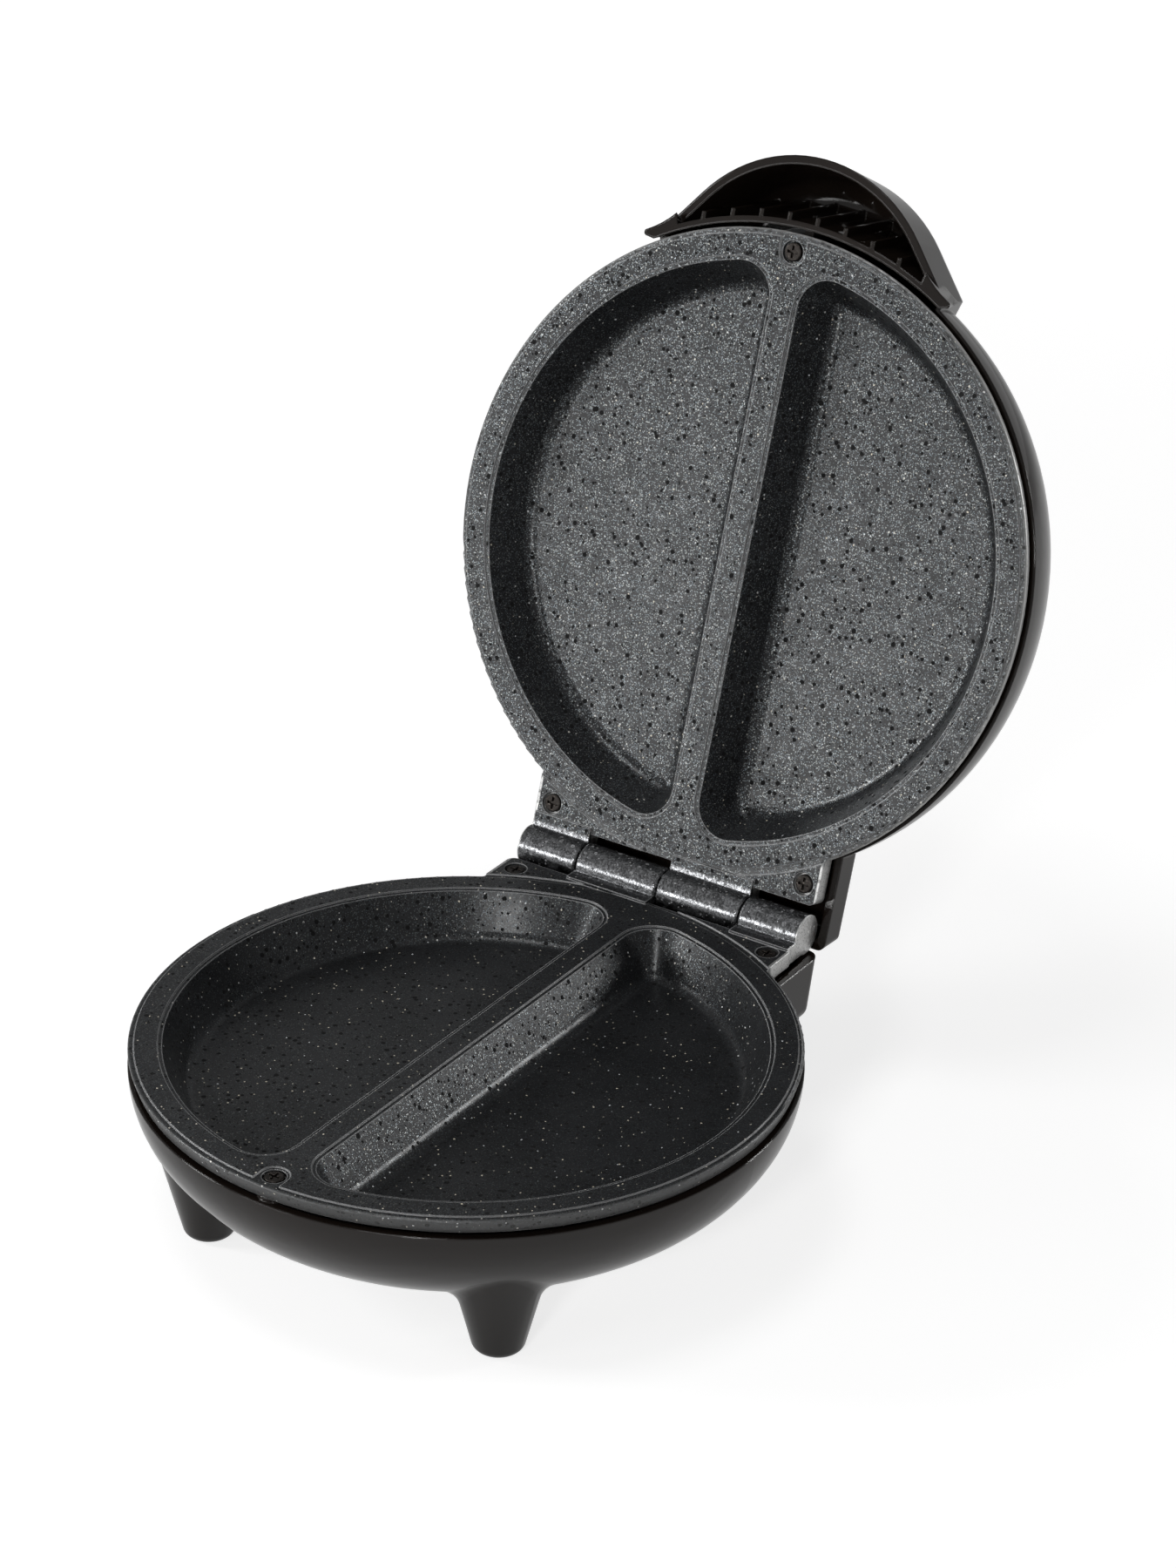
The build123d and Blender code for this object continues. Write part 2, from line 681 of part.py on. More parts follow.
def indicator_lamps():
    """Two small neon lamps behind the lenses, as one set."""
    lamps = []
    for x in (-lens_x, lens_x):
        bulb = rod(x, lens_y, lamp_radius, lamp_strip_z - 3, lamp_strip_z + 3)
        lamps.append(fillet(bulb.edges().group_by(Axis.Z)[0], 1.2))
    return Compound(lamps)


def lamp_holder():
    """Insulating strip that carries both lamps on two pillars."""
    strip = block((-22, lens_y - 5, lamp_strip_z), (22, lens_y + 5, lamp_strip_z + 1.8))
    for x in (-lens_x, lens_x):
        strip -= rod(x, lens_y, lamp_radius, lamp_strip_z - 1, lamp_strip_z + 3)
    return fillet(strip.edges().filter_by(Axis.Z).group_by(Axis.X)[0], 2.0)


# ---- the set of parts ----------------------------------------------------------------------
def foot_pads():
    """Four anti-slip pads pressed into the feet, as one set."""
    pads = []
    for x, y in foot_places:
        pad = rod(x, y, foot_pad_radius - 0.02, -plate_height, -plate_height + foot_pad_depth - 0.02)
        pads.append(fillet(pad.edges().group_by(Axis.Z)[0], 0.3))
    return Compound(pads)


def hinge_pin():
    """Steel pin through all four knuckles."""
    return cross_rod(hinge_y, hinge_z, pin_radius, -knuckle_end_x, pin_blind_x)


base_parts = {
    "base_housing": base_housing,
    "foot_pads": foot_pads,
    "lower_cooking_plate": lambda: cooking_plate(blind_bore=True),
    "lower_plate_screws": plate_screws,
    "lower_heating_element": heating_element,
    "lower_element_retainer": element_retainer,
    "lower_retainer_screws": retainer_screws,
    "lower_heat_reflector": heat_reflector,
    "thermostat": thermostat,
    "thermostat_bracket": thermostat_bracket,
    "terminal_block": terminal_block,
    "base_wiring": lambda: wiring([(11.5, 66, -33.6), (11, 52.1, -35.6)]),
    "cord_gland": cord_gland,
    "base_lead_gland": base_lead_gland,
    "hinge_pin": hinge_pin,
}

lid_parts = {
    "lid_housing": lid_housing,
    "upper_cooking_plate": lambda: cooking_plate(blind_bore=False),
    "upper_plate_screws": plate_screws,
    "upper_heating_element": heating_element,
    "upper_element_retainer": element_retainer,
    "upper_retainer_screws": retainer_screws,
    "upper_heat_reflector": heat_reflector,
    "thermal_fuse": thermal_fuse,
    "thermal_fuse_clip": thermal_fuse_clip,
    "power_lens": lambda: indicator_lens(-lens_x),
    "ready_lens": lambda: indicator_lens(lens_x),
    "indicator_lamps": indicator_lamps,
    "lamp_holder": lamp_holder,
    "lid_wiring": lambda: wiring([(11.5, 66, -33.6), (10, 40, -40.8), (10, -20.9, -40.8)]),
    "lid_lead_gland": lid_lead_gland,
}


def main():
    os.makedirs("parts", exist_ok=True)
    for place, parts in ((base_place, base_parts), (lid_place, lid_parts)):
        for name, make in parts.items():
            part = place * make()
            export_step(part, f"parts/{name}.step")


main()
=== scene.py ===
import json
import math

import bpy
from mathutils import Matrix, Vector

# Looks of the electric omelette maker, in metres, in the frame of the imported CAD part.

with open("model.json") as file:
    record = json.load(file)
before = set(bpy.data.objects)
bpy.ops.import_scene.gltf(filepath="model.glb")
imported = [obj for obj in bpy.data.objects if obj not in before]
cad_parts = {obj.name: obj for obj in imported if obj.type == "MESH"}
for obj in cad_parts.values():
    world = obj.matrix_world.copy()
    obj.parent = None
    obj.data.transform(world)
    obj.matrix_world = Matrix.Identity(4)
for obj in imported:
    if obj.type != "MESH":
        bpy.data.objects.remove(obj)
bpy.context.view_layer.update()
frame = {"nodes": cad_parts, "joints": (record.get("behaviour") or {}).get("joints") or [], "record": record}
nodes = frame["nodes"]
record = frame["record"]

PLATE_CENTRE = Vector((0.0, -0.0514, 0.054))    # middle of the lower plate's cooking face
PLATE_GAP = 0.0016                              # between the two faces when the lid is shut
HINGE_POINT = Vector(frame["joints"][0]["pos_m"])
LID_OPEN_ANGLE = math.radians(frame["joints"][0]["range_deg"][1])

# places on a plate, measured from its centre: from and to of a soft step
SKIRT_RADIUS = (0.0919, 0.0926)
SKIRT_DEPTH = (-0.0003, -0.0009)
TAB_END_X = (0.04805, 0.0484)
TAB_START_Y = (0.080, 0.082)
BARREL_START_Y = (0.0935, 0.0950)

# painted light level on the plates' metallic grains, the lower plate's grains darkened as painted shade; and
# how far the coating is worn off their skirts, the upper plate's skirt made brighter still as painted
# highlight
UPPER_GRAIN_LIGHT, UPPER_SKIRT_WEAR_AND_SHEEN = 1.0, 0.80
LOWER_GRAIN_LIGHT, LOWER_SKIRT_WEAR = 0.55, 0.14

# marks in the coating: cell size in metres, share of the cells, radius in cells, softness
GRAINS = (0.00044, 0.80, 0.52)
FLECKS = (0.0017, 0.50, 0.17)
DROPS = (0.0026, 0.85, 0.27, 0.85)
DOTS = (0.0012, 0.55, 0.24, 0.85)
GRAIN_TILT = 0.08
RAGGEDNESS = 0.0004

# colours of the coating
GROUND_COLORS = (0.013, 0.0135, 0.0145), (0.021, 0.0215, 0.023)
DULL_GRAIN = (0.085, 0.092, 0.10)
COOL_GRAIN = (0.228, 0.288, 0.335)
WARM_GRAIN = (0.290, 0.296, 0.280)
FLECK_COLORS = (0.72, 0.75, 0.78), (0.66, 0.60, 0.48)
DROP_COLOR = (0.0020, 0.0020, 0.0022)
BARREL_COLORS = (0.085, 0.086, 0.089), (0.36, 0.367, 0.38)
BARE_COLORS = (0.70, 0.70, 0.69), (0.22, 0.22, 0.22)
EDGE_WEAR_AND_HIGHLIGHT_COLOR = (0.50, 0.505, 0.51)

COATING_IOR = 1.36
PLASTIC_IOR = 1.45
LENS_IOR = 1.49

# how far from a corner each finish shows its lighter edge, in metres; on the coating and the gloss plastic
# that edge is partly wear and partly painted highlight
COATING_EDGE = 0.0005
PLASTIC_EDGE = 0.0008
SMALL_PART_EDGE = 0.0003
SCREW_EDGE = 0.0002

# how strongly reflections and glass show the white background; the camera shows it in full
REFLECTED_WHITE = 0.55

# floor: half its side in metres, and its own glow near the object and far from it
FLOOR_REACH = 3.0
FLOOR_GLOW = (0.75, 0.98)

# softboxes: name, azimuth, elevation, distance, width, height in metres, and watts
SOFTBOXES = (
    ("key_left", -29.0, 6.3, 1.5, 0.50, 0.28, 3.6),
    ("front_left", -58.0, 20.0, 1.4, 0.34, 0.38, 8.0),
    ("front_fill", 18.0, 22.0, 1.5, 0.20, 0.14, 4.5),
    ("back_right", 139.0, 11.0, 1.3, 0.30, 0.18, 5.0),
    ("top", -25.0, 74.0, 1.4, 0.45, 0.40, 4.0),
)

# ---- camera: the photograph's viewing angle ------------------------------------------------
VIEW_AZIMUTH = math.radians(32.996)
VIEW_ELEVATION = math.radians(27.294)
VIEW_ROLL = math.radians(1.11)
VIEW_DISTANCE = 1.20195
VIEW_TARGET = PLATE_CENTRE + Vector((0.018889, 0.030, 0.071267))
LENS_MM = 101.237


def direction(azimuth, elevation):
    """Unit vector from the object towards a place round it; azimuth 0 is the front."""
    return Vector((math.sin(azimuth) * math.cos(elevation),
                   -math.cos(azimuth) * math.cos(elevation),
                   math.sin(elevation)))


def make_camera():
    back = direction(VIEW_AZIMUTH, VIEW_ELEVATION)
    right = (-back).cross(Vector((0, 0, 1))).normalized()
    up = right.cross(-back)
    rolled_right = right * math.cos(VIEW_ROLL) + up * math.sin(VIEW_ROLL)
    rolled_up = up * math.cos(VIEW_ROLL) - right * math.sin(VIEW_ROLL)
    turn = Matrix((rolled_right, rolled_up, back)).transposed().to_4x4()
    data = bpy.data.cameras.new("camera")
    data.lens = LENS_MM
    data.sensor_width = 36.0
    data.clip_start, data.clip_end = 0.05, 20.0
    camera = bpy.data.objects.new("camera", data)
    camera.matrix_world = Matrix.Translation(VIEW_TARGET + back * VIEW_DISTANCE) @ turn
    bpy.context.scene.collection.objects.link(camera)
    bpy.context.scene.camera = camera


# ---- node helper ---------------------------------------------------------------------------
class Graph:
    """Adds shader nodes and links to one tree."""

    def __init__(self, tree):
        self.tree = tree
        tree.nodes.clear()

    def add(self, kind, inputs=None, **settings):
        """New node of a kind, its settings and its inputs given."""
        made = self.tree.nodes.new("ShaderNode" + kind)
        for name, value in settings.items():
            setattr(made, name, value)
        for name, value in (inputs or {}).items():
            self.put(made.inputs[name], value)
        return made

    def put(self, socket, value):
        """Links a socket to an input, or sets a plain value on it."""
        if isinstance(value, bpy.types.NodeSocket):
            self.tree.links.new(value, socket)
        elif socket.type == "RGBA" and len(value) == 3:
            socket.default_value = (*value, 1.0)
        else:
            socket.default_value = value

    def math(self, operation, first, second=0.0, clamp=False):
        made = self.add("Math", operation=operation, use_clamp=clamp)
        self.put(made.inputs[0], first)
        self.put(made.inputs[1], second)
        return made.outputs[0]

    def span(self, value, low, high, to_low=0.0, to_high=1.0):
        """Smooth step of value from low to high."""
        made = self.add("MapRange", interpolation_type="SMOOTHSTEP")
        for i, number in enumerate((value, low, high, to_low, to_high)):
            self.put(made.inputs[i], number)
        return made.outputs[0]

    def mix(self, factor, first, second):
        made = self.add("Mix", data_type="RGBA")
        self.put(made.inputs["Factor"], factor)
        self.put(made.inputs[6], first)
        self.put(made.inputs[7], second)
        return made.outputs[2]

    def object_space(self):
        return self.add("TexCoord").outputs["Object"]

    def noise(self, vector, scale, detail=3.0, roughness=0.5, distortion=0.0):
        made = self.add("TexNoise", {"Vector": vector, "Scale": scale, "Detail": detail,
                                     "Roughness": roughness, "Distortion": distortion})
        return made.outputs["Fac"]

    def cells(self, vector, size):
        """Cells of a given size in metres: distance in cell sizes, and a random colour."""
        made = self.add("TexVoronoi", {"Vector": vector, "Scale": 1.0 / size})
        return made.outputs["Distance"], made.outputs["Color"]

    def channels(self, color):
        made = self.add("SeparateColor", {"Color": color})
        return made.outputs[0], made.outputs[1], made.outputs[2]

    def specks(self, vector, size, share, radius, softness=0.7):
        """Round specks, one in a share of the cells, radius in cell sizes."""
        distance, color = self.cells(vector, size)
        chance, vary, _ = self.channels(color)
        picked = self.math("LESS_THAN", chance, share)
        reach = self.math("MULTIPLY_ADD", vary, radius * 0.7)
        self.put(reach.node.inputs[2], radius * 0.5)
        inner = self.math("MULTIPLY", reach, softness)
        speck = self.span(distance, inner, reach, 1.0, 0.0)
        return self.math("MULTIPLY", speck, picked), color

    def bump(self, height, distance, strength=1.0, normal=None):
        made = self.add("Bump", {"Height": height, "Distance": distance, "Strength": strength})
        if normal is not None:
            self.put(made.inputs["Normal"], normal)
        return made.outputs[0]

    def finish(self, **inputs):
        """Shader and output of the material."""
        shader = self.add("BsdfPrincipled")
        for name, value in inputs.items():
            self.put(shader.inputs[name.replace("_", " ")], value)
        out = self.add("OutputMaterial")
        self.tree.links.new(shader.outputs[0], out.inputs["Surface"])


def new_material(name):
    material = bpy.data.materials.new(name)
    material.use_nodes = True
    return material, Graph(material.node_tree)


def edge_mask(graph, radius):
    """Bright along edges, from a rounded normal against the plain one; also that normal."""
    rounded = graph.add("Bevel", {"Radius": radius}, samples=4).outputs[0]
    plain = graph.add("NewGeometry").outputs["Normal"]
    dot = graph.add("VectorMath", operation="DOT_PRODUCT")
    graph.put(dot.inputs[0], rounded)
    graph.put(dot.inputs[1], plain)
    return graph.span(dot.outputs["Value"], 0.995, 0.90), rounded


def lower_plate_space(graph, place):
    """Place measured from the lower plate's centre, z up out of its cooking face."""
    moved = graph.add("VectorMath", operation="SUBTRACT")
    graph.put(moved.inputs[0], place)
    graph.put(moved.inputs[1], PLATE_CENTRE)
    return moved.outputs[0]


def upper_plate_space(graph, place):
    """The same for the upper plate, whose half is swung open about the hinge."""
    shut = graph.add("VectorRotate", {"Vector": place, "Center": HINGE_POINT,
                                      "Angle": LID_OPEN_ANGLE}, rotation_type="X_AXIS")
    moved = graph.add("VectorMath", operation="SUBTRACT")
    graph.put(moved.inputs[0], shut.outputs[0])
    graph.put(moved.inputs[1], PLATE_CENTRE + Vector((0, 0, PLATE_GAP)))
    turned = graph.add("VectorMath", operation="MULTIPLY")
    graph.put(turned.inputs[0], moved.outputs[0])
    graph.put(turned.inputs[1], (-1, 1, -1))
    return turned.outputs[0]


def coat_masks(g, plate_place, skirt_wear_and_sheen):
    """Where the coating is worn: on the outer skirt and the tab's end faces, with the upper plate's skirt
    raised further as painted highlight;
    and the plain plate, 1 up to the hinge barrels and 0 on them."""
    parts = g.add("SeparateXYZ", {"Vector": plate_place}).outputs
    across = g.math("MULTIPLY", parts[0], parts[0])
    along = g.math("MULTIPLY", parts[1], parts[1])
    radius = g.math("SQRT", g.math("ADD", across, along))
    skirt = g.math("MULTIPLY", g.span(radius, *SKIRT_RADIUS), g.span(parts[2], *SKIRT_DEPTH))
    # skirt share per plate: worn coating, and on the upper plate also painted highlight of light from the
    # right
    skirt = g.math("MULTIPLY", skirt, skirt_wear_and_sheen)
    ends = g.span(g.math("ABSOLUTE", parts[0]), *TAB_END_X)
    ends = g.math("MULTIPLY", ends, g.span(parts[1], *TAB_START_Y))
    return g.math("MAXIMUM", skirt, ends), g.span(parts[1], *BARREL_START_Y, 1.0, 0.0)


def tilted_grains(g, normal, grain_color, share):
    """Normal with each grain leaning its own way, taken from its random colour."""
    lean = g.add("VectorMath", operation="MULTIPLY_ADD")
    g.put(lean.inputs[0], grain_color)
    g.put(lean.inputs[1], (2 * GRAIN_TILT,) * 3)
    g.put(lean.inputs[2], (-GRAIN_TILT,) * 3)
    leaning = g.add("VectorMath", {0: lean.outputs[0], "Scale": share}, operation="SCALE")
    tilted = g.add("VectorMath", {0: normal, 1: leaning.outputs[0]}, operation="ADD")
    return g.add("VectorMath", {0: tilted.outputs[0]}, operation="NORMALIZE").outputs[0]


# ---- materials -----------------------------------------------------------------------------
def granite_coating(name, plate_space, painted_grain_light, skirt_wear_and_sheen):
    """Charcoal non-stick coating full of fine metallic grains, with sparse white flecks and
    matte black drops; the grains shine only where they face a light."""
    material, g = new_material(name)
    place = g.object_space()
    wobble = g.add("TexNoise", {"Vector": place, "Scale": 900.0, "Detail": 1.0})
    shift = g.add("VectorMath", operation="MULTIPLY_ADD")
    g.put(shift.inputs[0], wobble.outputs["Color"])
    g.put(shift.inputs[1], (RAGGEDNESS,) * 3)
    g.put(shift.inputs[2], place)
    ragged = shift.outputs[0]
    edge, rounded = edge_mask(g, COATING_EDGE)
    thin_coat_and_sheen, plain = coat_masks(g, plate_space(g, place), skirt_wear_and_sheen)

    tone = g.span(g.noise(place, 60.0, 4.0), 0.3, 0.7)
    ground = g.mix(tone, *GROUND_COLORS)
    grain, grain_color = g.specks(place, *GRAINS)
    _, grain_tan, grain_level = g.channels(grain_color)
    # grain colours scaled by the plate's painted light level; the lower plate's smaller level is painted
    # shade
    cool, warm, dull = ([c * painted_grain_light for c in color]
                        for color in (COOL_GRAIN, WARM_GRAIN, DULL_GRAIN))
    shine = g.mix(grain_level, dull, g.mix(grain_tan, cool, warm))
    color = g.mix(grain, ground, shine)
    fleck, fleck_color = g.specks(ragged, *FLECKS)
    _, _, fleck_tan = g.channels(fleck_color)
    color = g.mix(fleck, color, g.mix(fleck_tan, *FLECK_COLORS))
    drop, _ = g.specks(ragged, *DROPS)
    dot, _ = g.specks(place, *DOTS)
    drop = g.math("MAXIMUM", drop, dot)
    color = g.mix(drop, color, DROP_COLOR)

    barrel = g.math("SUBTRACT", 1.0, plain)
    rubbed = g.span(g.noise(place, 420.0, 4.0, 0.6), 0.3, 0.7, 0.80, 1.0)
    rubbed = g.math("MULTIPLY", barrel, rubbed)
    worn = g.mix(g.math("POWER", grain_level, 1.2), *BARREL_COLORS)
    color = g.mix(rubbed, color, worn)
    # bare metal colour on the worn skirt and tab ends; on the upper plate's skirt it also stands in as
    # painted highlight
    bare = g.mix(g.math("MULTIPLY", grain, grain_level), *BARE_COLORS)
    color = g.mix(g.math("MULTIPLY", thin_coat_and_sheen, 0.85), color, bare)
    # lighter lines along edges, partly worn coating and partly painted highlight; faint on the hinge barrels
    edge = g.math("MULTIPLY", edge, g.span(plain, 0.0, 1.0, 0.15, 0.85))
    color = g.mix(edge, color, EDGE_WEAR_AND_HIGHLIGHT_COLOR)

    covered = g.math("MAXIMUM", g.math("MAXIMUM", drop, fleck), edge)
    shiny = g.math("MAXIMUM", grain, rubbed)
    metallic = g.math("MULTIPLY", shiny, g.math("SUBTRACT", 1.0, covered), clamp=True)
    metallic = g.math("MAXIMUM", metallic, g.math("MULTIPLY", thin_coat_and_sheen, 0.85))
    rough = g.span(g.noise(place, 220.0, 3.0), 0.25, 0.75, 0.26, 0.34)
    rough = g.math("ADD", rough, g.math("MULTIPLY", g.math("MULTIPLY", grain, plain), 0.10))
    rough = g.math("ADD", rough, g.math("MULTIPLY", drop, 0.50))
    rough = g.math("SUBTRACT", rough, g.math("MULTIPLY", rubbed, 0.09))
    rough = g.math("ADD", rough, g.math("MULTIPLY", thin_coat_and_sheen, 0.12))

    tilted = tilted_grains(g, rounded, grain_color, g.math("MULTIPLY", grain, plain))
    peel = g.bump(g.noise(place, 1500.0, 2.0, 0.6), 0.000022, 1.0, tilted)
    raised = g.math("SUBTRACT", g.math("MULTIPLY", fleck, 0.5), drop)
    normal = g.bump(raised, 0.00003, 1.0, peel)
    g.finish(Base_Color=color, Roughness=rough, Normal=normal, Metallic=metallic,
             IOR=COATING_IOR)
    return material


def gloss_plastic():
    """Polished black phenolic with faint flow, fine dust and softly rounded edges."""
    material, g = new_material("gloss_black_plastic")
    place = g.object_space()
    tone = g.span(g.noise(place, 14.0, 3.0, 0.6, 0.4), 0.3, 0.7)
    color = g.mix(tone, (0.0085, 0.0061, 0.0048), (0.0150, 0.0107, 0.0084))
    edge, rounded = edge_mask(g, PLASTIC_EDGE)
    # faintly lighter along edges: partly wear, partly painted highlight
    color = g.mix(g.math("MULTIPLY", edge, 0.15), color, (0.030, 0.026, 0.023))
    dust, _ = g.specks(place, 0.0030, 0.10, 0.05)
    color = g.mix(g.math("MULTIPLY", dust, 0.35), color, (0.16, 0.155, 0.15))
    smear = g.span(g.noise(place, 45.0, 4.0, 0.55, 0.8), 0.35, 0.7, 0.030, 0.065)
    rough = g.math("ADD", smear, g.math("MULTIPLY", dust, 0.3))
    ripple = g.bump(g.noise(place, 26.0, 1.0), 0.00010, 0.5, rounded)
    normal = g.bump(g.noise(place, 700.0, 2.0), 0.000004, 1.0, ripple)
    g.finish(Base_Color=color, Roughness=rough, Normal=normal, IOR=PLASTIC_IOR)
    return material


def dark_screw():
    """Brown-black oxide steel with bright worn spots."""
    material, g = new_material("dark_screw_steel")
    place = g.object_space()
    edge, rounded = edge_mask(g, SCREW_EDGE)
    worn = g.span(g.noise(place, 1700.0, 4.0, 0.65), 0.55, 0.70)
    tone = g.mix(g.noise(place, 700.0, 2.0), (0.011, 0.0095, 0.0085), (0.034, 0.029, 0.026))
    color = g.mix(g.math("MULTIPLY", worn, 0.4), tone, (0.22, 0.19, 0.165))
    color = g.mix(g.math("MULTIPLY", edge, 0.25), color, (0.22, 0.18, 0.155))
    rough = g.span(worn, 0.0, 1.0, 0.42, 0.26)
    normal = g.bump(g.noise(place, 2200.0, 2.0), 0.00005, 0.8, rounded)
    g.finish(Base_Color=color, Roughness=rough, Normal=normal, Metallic=0.8)
    return material


def metal(name, dark, light, low_rough, high_rough, grain_scale, stretch=(1, 1, 1), stain=None):
    """Bare metal sheet or rod with a rolled grain, smudges and a few stains."""
    material, g = new_material(name)
    place = g.object_space()
    drawn = g.add("VectorMath", operation="MULTIPLY")
    g.put(drawn.inputs[0], place)
    g.put(drawn.inputs[1], stretch)
    grain = g.noise(drawn.outputs[0], grain_scale, 4.0, 0.6)
    smudge = g.noise(place, 55.0, 3.0, 0.6, 0.5)
    color = g.mix(g.span(grain, 0.25, 0.75), dark, light)
    if stain:
        color = g.mix(g.math("MULTIPLY", g.span(smudge, 0.5, 0.72), 0.6), color, stain)
    edge, rounded = edge_mask(g, SMALL_PART_EDGE)
    color = g.mix(g.math("MULTIPLY", edge, 0.3), color, light)
    rough = g.span(smudge, 0.3, 0.7, low_rough, high_rough)
    normal = g.bump(grain, 0.00002, 0.7, rounded)
    g.finish(Base_Color=color, Roughness=rough, Normal=normal, Metallic=1.0)
    return material


def moulded(name, dark, light, low_rough, high_rough, texture_scale, depth=0.00003):
    """Matte moulded plastic, rubber or sleeving with a fine texture and slight scuffs."""
    material, g = new_material(name)
    place = g.object_space()
    tone = g.span(g.noise(place, 90.0, 4.0, 0.6), 0.3, 0.7)
    edge, rounded = edge_mask(g, SMALL_PART_EDGE)
    color = g.mix(tone, dark, light)
    color = g.mix(g.math("MULTIPLY", edge, 0.4), color, [min(1.0, c * 1.6 + 0.01) for c in light])
    rough = g.span(g.noise(place, 300.0, 2.0), 0.3, 0.7, low_rough, high_rough)
    normal = g.bump(g.noise(place, texture_scale, 3.0), depth, 0.8, rounded)
    g.finish(Base_Color=color, Roughness=rough, Normal=normal)
    return material


def woven(name, dark, light, pitch):
    """Braided glass sleeving."""
    material, g = new_material(name)
    place = g.object_space()
    bands = []
    for turn in (0.78, -0.78):
        turned = g.add("Mapping", {"Vector": place, "Rotation": (turn, turn, turn)})
        wave = g.add("TexWave", {"Vector": turned.outputs[0], "Scale": 1.0 / pitch,
                                 "Distortion": 1.5, "Detail": 2.0}, wave_type="BANDS")
        bands.append(wave.outputs["Fac"])
    weave = g.math("MAXIMUM", bands[0], bands[1])
    color = g.mix(weave, dark, light)
    rough = g.span(g.noise(place, 800.0, 2.0), 0.3, 0.7, 0.75, 0.92)
    normal = g.bump(weave, 0.00008, 0.8)
    g.finish(Base_Color=color, Roughness=rough, Normal=normal)
    return material


def lens(name, tint, clearness):
    """Moulded translucent indicator lens, unlit, with a faint inner texture."""
    material, g = new_material(name)
    place = g.object_space()
    tone = g.span(g.noise(place, 400.0, 3.0), 0.3, 0.7)
    color = g.mix(tone, [c * 0.75 for c in tint], tint)
    rough = g.span(g.noise(place, 250.0, 2.0), 0.3, 0.7, 0.08, 0.2)
    normal = g.bump(g.noise(place, 1200.0, 1.0), 0.00002, 0.6)
    g.finish(Base_Color=color, Roughness=rough, Normal=normal, IOR=LENS_IOR,
             Transmission_Weight=clearness)
    return material


def make_finishes():
    """One material for each slot of the record."""
    return {
        "gloss_black": gloss_plastic(),
        "nonstick_casting": granite_coating("granite_coating_lower", lower_plate_space,
                                            LOWER_GRAIN_LIGHT, LOWER_SKIRT_WEAR),
        "dark_screw": dark_screw(),
        "element_sheath": metal("element_sheath", (0.17, 0.16, 0.15), (0.34, 0.32, 0.29),
                                0.35, 0.55, 500.0, stain=(0.20, 0.13, 0.08)),
        "plated_steel": metal("plated_steel", (0.46, 0.46, 0.45), (0.64, 0.64, 0.63), 0.25, 0.42,
                              900.0, (1.0, 0.15, 0.15), stain=(0.42, 0.40, 0.34)),
        "bright_aluminium": metal("bright_aluminium", (0.70, 0.70, 0.71), (0.86, 0.86, 0.87),
                                  0.18, 0.36, 1200.0, (1.0, 0.05, 1.0), stain=(0.62, 0.56, 0.46)),
        "switch_plastic": moulded("switch_plastic", (0.07, 0.038, 0.02), (0.14, 0.08, 0.045),
                                  0.35, 0.5, 900.0),
        "terminal_plastic": moulded("terminal_plastic", (0.62, 0.60, 0.54), (0.76, 0.74, 0.68),
                                    0.45, 0.6, 700.0),
        "wire_insulation": woven("wire_sleeving", (0.50, 0.48, 0.43), (0.74, 0.72, 0.66), 0.0012),
        "fuse_sleeve": woven("fuse_sleeving", (0.62, 0.60, 0.54), (0.84, 0.82, 0.76), 0.0009),
        "gland_rubber": moulded("gland_rubber", (0.010, 0.010, 0.010), (0.022, 0.021, 0.020),
                                0.55, 0.75, 1100.0),
        "pad_rubber": moulded("pad_rubber", (0.018, 0.018, 0.018), (0.034, 0.033, 0.031),
                              0.7, 0.9, 800.0, 0.00006),
        "red_lens": lens("red_lens", (0.62, 0.02, 0.015), 0.35),
        "green_lens": lens("green_lens", (0.02, 0.42, 0.07), 0.35),
        "lamp_glass": lens("lamp_glass", (0.85, 0.80, 0.72), 0.9),
    }


def dress_nodes(finishes):
    """Gives every CAD node the finish of its slot in the record."""
    for row in record["subparts"]:
        mesh_object = nodes[row["node"]]
        material = finishes[row["material_slot"]]
        if row["node"] == "upper_cooking_plate":
            material = granite_coating("granite_coating_upper", upper_plate_space,
                                       UPPER_GRAIN_LIGHT, UPPER_SKIRT_WEAR_AND_SHEEN)
        if not mesh_object.material_slots:
            mesh_object.data.materials.append(material)
        for place in mesh_object.material_slots:
            place.material = material


# ---- studio --------------------------------------------------------------------------------
def seen_ray(g, share=1.0):
    """1 for camera rays; part of it for reflections and rays through glass."""
    rays = g.add("LightPath").outputs
    indirect = g.math("MAXIMUM", rays["Is Glossy Ray"], rays["Is Transmission Ray"])
    indirect = g.math("MULTIPLY", indirect, g.math("MULTIPLY", share, REFLECTED_WHITE))
    return g.math("MAXIMUM", rays["Is Camera Ray"], indirect)


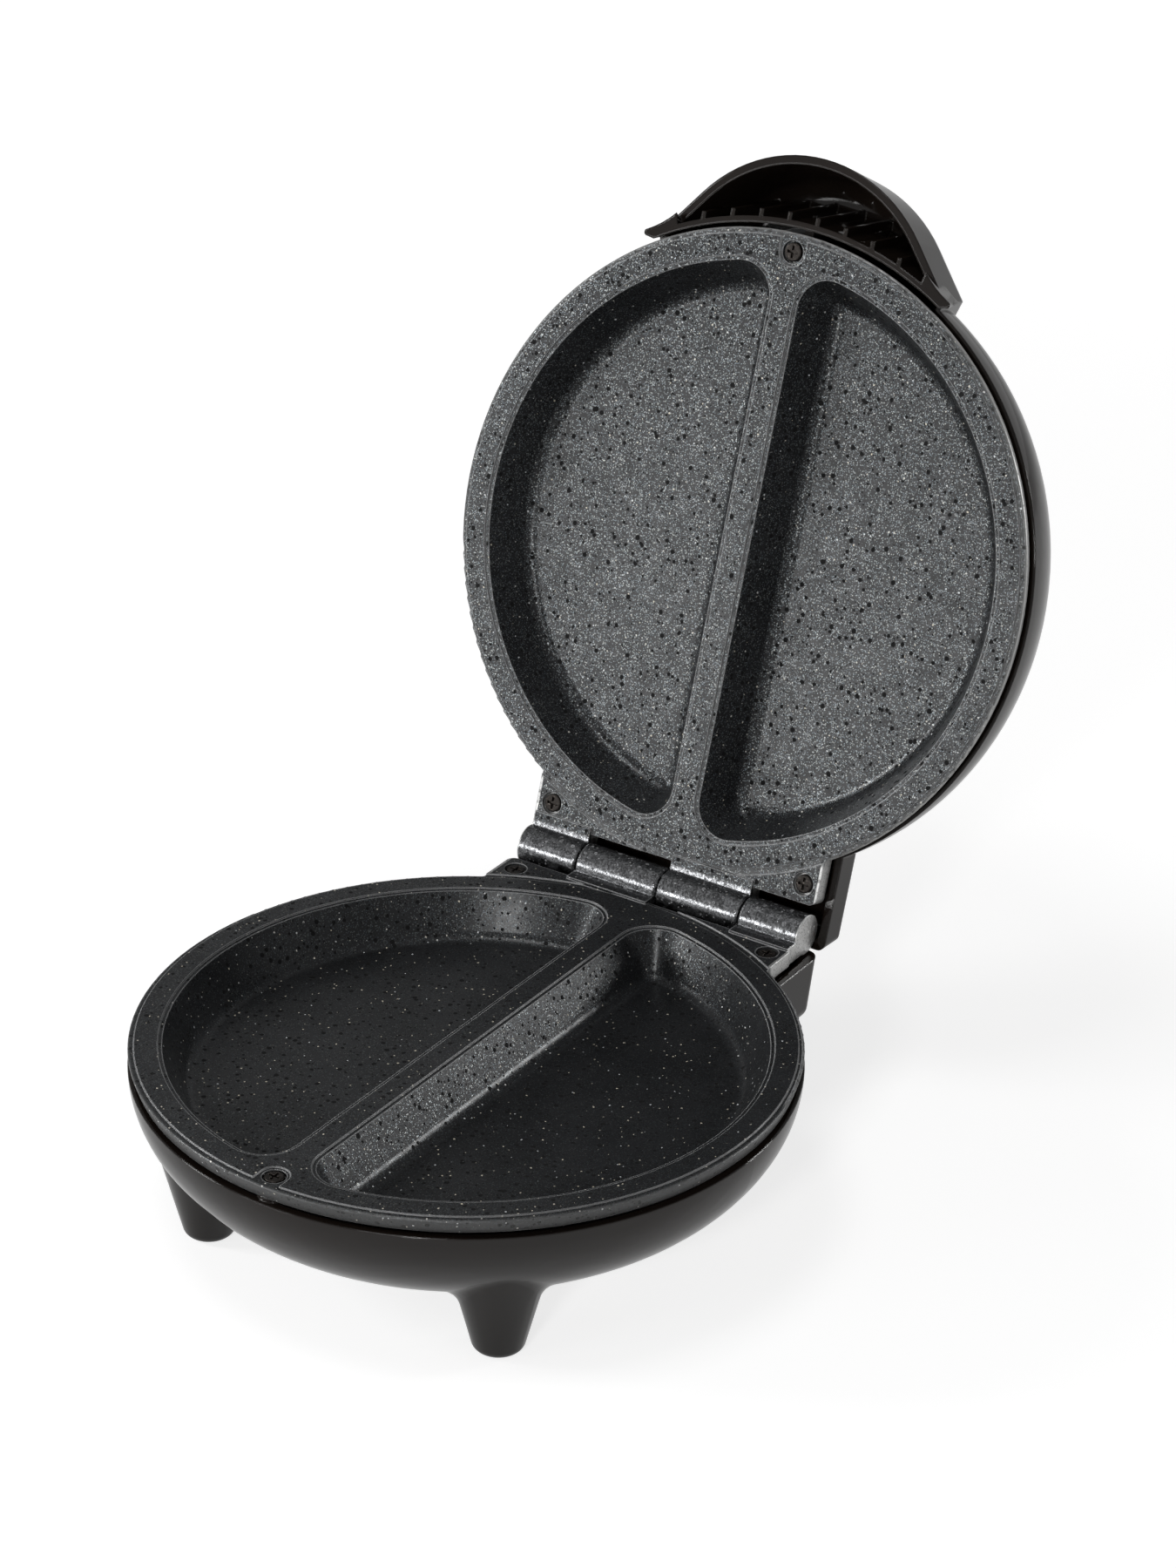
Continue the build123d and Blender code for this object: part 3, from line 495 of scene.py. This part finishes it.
def make_floor():
    """Wide pale floor that reads as white to the camera and keeps the object's shadow."""
    mesh = bpy.data.meshes.new("studio_floor")
    corners = [(x * FLOOR_REACH, y * FLOOR_REACH, 0)
               for x, y in ((-1, -1), (1, -1), (1, 1), (-1, 1))]
    mesh.from_pydata(corners, [], [(0, 1, 2, 3)])
    floor = bpy.data.objects.new("studio_floor", mesh)
    bpy.context.scene.collection.objects.link(floor)
    material, g = new_material("studio_paper")
    tone = g.mix(g.noise(g.object_space(), 3.0), (0.46, 0.46, 0.46), (0.48, 0.48, 0.48))
    paper = g.add("BsdfDiffuse", {"Color": tone, "Roughness": 0.5})
    away = g.add("VectorMath", {0: g.object_space()}, operation="LENGTH").outputs["Value"]
    level = g.span(away, 0.45, 1.60, *FLOOR_GLOW)
    glow = g.add("Emission", {"Color": (1, 1, 1), "Strength": level})
    lit = g.add("AddShader")
    g.put(lit.inputs[0], paper.outputs[0])
    g.put(lit.inputs[1], glow.outputs[0])
    near = g.span(away, 0.35, 1.20, 1.0, 0.45)
    pick = g.add("MixShader", {"Fac": seen_ray(g, near)})
    g.put(pick.inputs[1], paper.outputs[0])
    g.put(pick.inputs[2], lit.outputs[0])
    out = g.add("OutputMaterial")
    g.put(out.inputs["Surface"], pick.outputs[0])
    mesh.materials.append(material)


def make_world():
    """White to the camera; to the object a dim room that is brighter near the floor."""
    world = bpy.data.worlds.new("studio")
    world.use_nodes = True
    bpy.context.scene.world = world
    g = Graph(world.node_tree)
    height = g.add("SeparateXYZ", {"Vector": g.add("TexCoord").outputs["Generated"]}).outputs[2]
    level = g.span(height, -0.1, 0.9, 0.22, 0.11)
    room = g.add("Background", {"Color": (1, 1, 1), "Strength": level})
    white = g.add("Background", {"Color": (1, 1, 1), "Strength": 1.0})
    low = g.span(height, 0.0, 0.40, 0.70, 0.28)
    pick = g.add("MixShader", {"Fac": seen_ray(g, low)})
    g.put(pick.inputs[1], room.outputs[0])
    g.put(pick.inputs[2], white.outputs[0])
    out = g.add("OutputWorld")
    g.put(out.inputs["Surface"], pick.outputs[0])


def softbox(name, azimuth, elevation, distance, width, height, watts):
    """Rectangular studio light aimed at the middle of the object."""
    data = bpy.data.lights.new(name, "AREA")
    data.shape = "RECTANGLE"
    data.size, data.size_y = width, height
    data.energy = watts
    lamp = bpy.data.objects.new(name, data)
    back = direction(math.radians(azimuth), math.radians(elevation))
    lamp.matrix_world = (Matrix.Translation(VIEW_TARGET + back * distance)
                         @ back.to_track_quat("Z", "Y").to_matrix().to_4x4())
    lamp.visible_camera = False
    bpy.context.scene.collection.objects.link(lamp)


make_camera()
dress_nodes(make_finishes())
make_floor()
make_world()
for settings in SOFTBOXES:
    softbox(*settings)

scene = bpy.context.scene
scene.view_settings.view_transform = "Standard"
